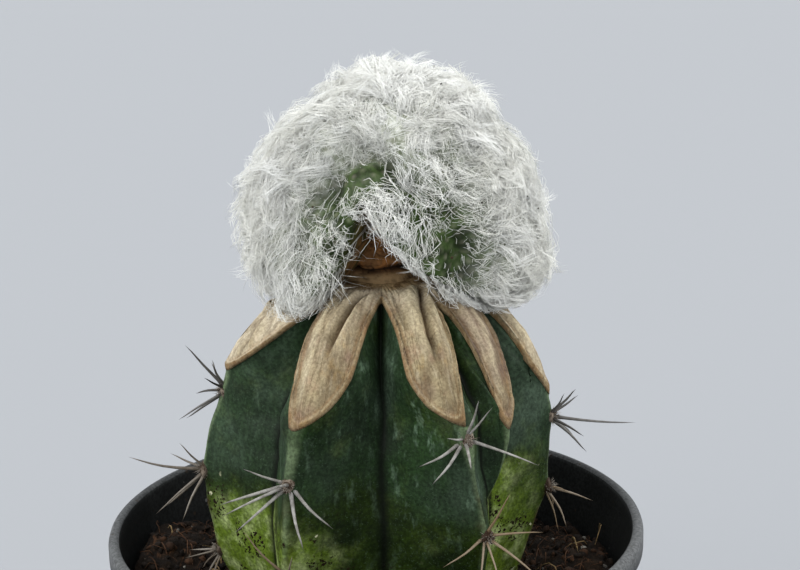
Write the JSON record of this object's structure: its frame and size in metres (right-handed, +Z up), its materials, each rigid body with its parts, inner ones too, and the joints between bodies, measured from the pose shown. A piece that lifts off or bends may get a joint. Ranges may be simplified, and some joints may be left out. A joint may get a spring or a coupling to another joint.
{
  "type": "grafted crested cactus in a nursery pot",
  "caption": "Small grafted cactus: a white-haired crested scion on a ribbed green rootstock with tan cut ribs, growing in soil in a round plastic nursery pot.",
  "frame": {"origin": "on the ground under the middle of the pot", "axes": "+Z up, the picture's front towards -Y, +X to the picture's right"},
  "size_m": [0.085, 0.085, 0.1447],
  "materials": {
    "pot_plastic": "satin",
    "potting_soil": "matte",
    "stem_green": "satin",
    "cut_skin": "matte",
    "union_brown": "matte",
    "crest_wool": "matte"
  },
  "bodies": {
    "root": {"pot": "pot_plastic", "soil": "potting_soil", "rootstock": "stem_green", "cut_rib_skin": "cut_skin", "graft_union": "union_brown", "crest": "crest_wool"}
  },
  "joints": []
}
